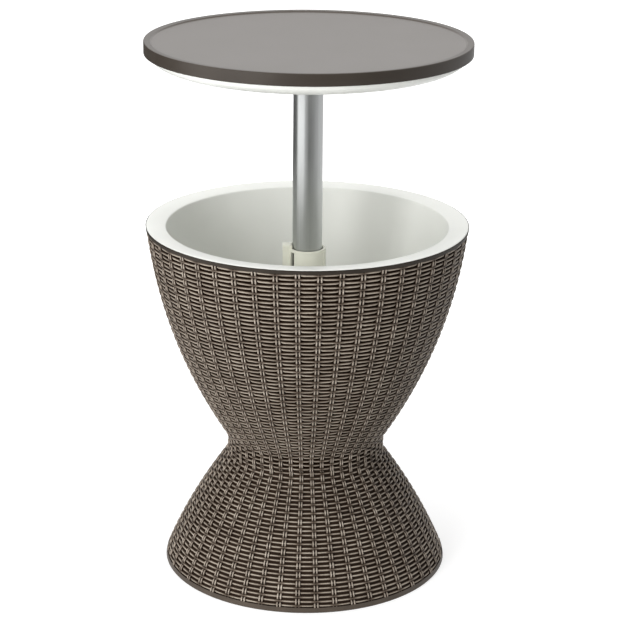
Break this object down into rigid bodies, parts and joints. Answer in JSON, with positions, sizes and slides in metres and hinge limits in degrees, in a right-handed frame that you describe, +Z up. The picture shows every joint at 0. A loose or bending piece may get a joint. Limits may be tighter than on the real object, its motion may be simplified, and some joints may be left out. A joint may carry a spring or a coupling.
{
  "type": "cooler bar table",
  "caption": "Round patio bar table on a pole that lifts and twists over a rattan-look ice tub with a flared base; lowered, the table closes the tub.",
  "frame": {"origin": "centre of the foot, on the floor", "axes": "+Z up along the pole, +X to the right and -Y to the front as pictured"},
  "size_m": [0.4977, 0.4978, 0.84],
  "materials": {
    "wicker_brown": "moulded rattan weave, satin",
    "table_brown": "fine-grained moulding, satin",
    "tub_white": "smooth moulding, semi-gloss",
    "column_cream": "smooth moulding, semi-gloss",
    "pole_aluminium": "satin anodised",
    "guide_black": "acetal, satin",
    "fitting_nylon": "nylon, matte",
    "seal_rubber": "matte",
    "screw_steel": "zinc plated"
  },
  "bodies": {
    "base": {"base_shell": "wicker_brown", "column_brace": "wicker_brown", "body_shell": "wicker_brown", "cooler_tub": "tub_white", "column_sleeve": "column_cream", "column_cap": "column_cream", "pole_guide": "guide_black", "sleeve_seal": "seal_rubber", "sleeve_screws": "screw_steel", "frame_screws": "screw_steel", "drain_bush": "column_cream", "drain_gasket": "seal_rubber", "drain_nut": "column_cream"},
    "slider": {"lock_bush": "fitting_nylon"},
    "table": {"pole": "pole_aluminium", "pole_end_plug": "fitting_nylon", "lock_cam": "guide_black", "cam_screw": "screw_steel", "cam_pin": "screw_steel", "pole_socket": "fitting_nylon", "socket_pin": "screw_steel", "socket_screws": "screw_steel", "table_top": "table_brown", "table_underside": "tub_white", "underside_screws": "screw_steel"},
    "plug": {"drain_plug": "column_cream", "plug_ring": "seal_rubber"}
  },
  "joints": [
    {"name": "top_lift", "type": "slide", "parent": "base", "child": "slider", "axis": [0, 0, 1], "range_m": [-0.25, 0]},
    {"name": "top_twist", "type": "hinge", "parent": "slider", "child": "table", "pos_m": [0, 0, 0.4185], "axis": [0, 0, 1], "range_deg": [-40, 0]},
    {"name": "plug_lift", "type": "slide", "parent": "base", "child": "plug", "axis": [0, 0, 1], "range_m": [0, 0.04]}
  ]
}
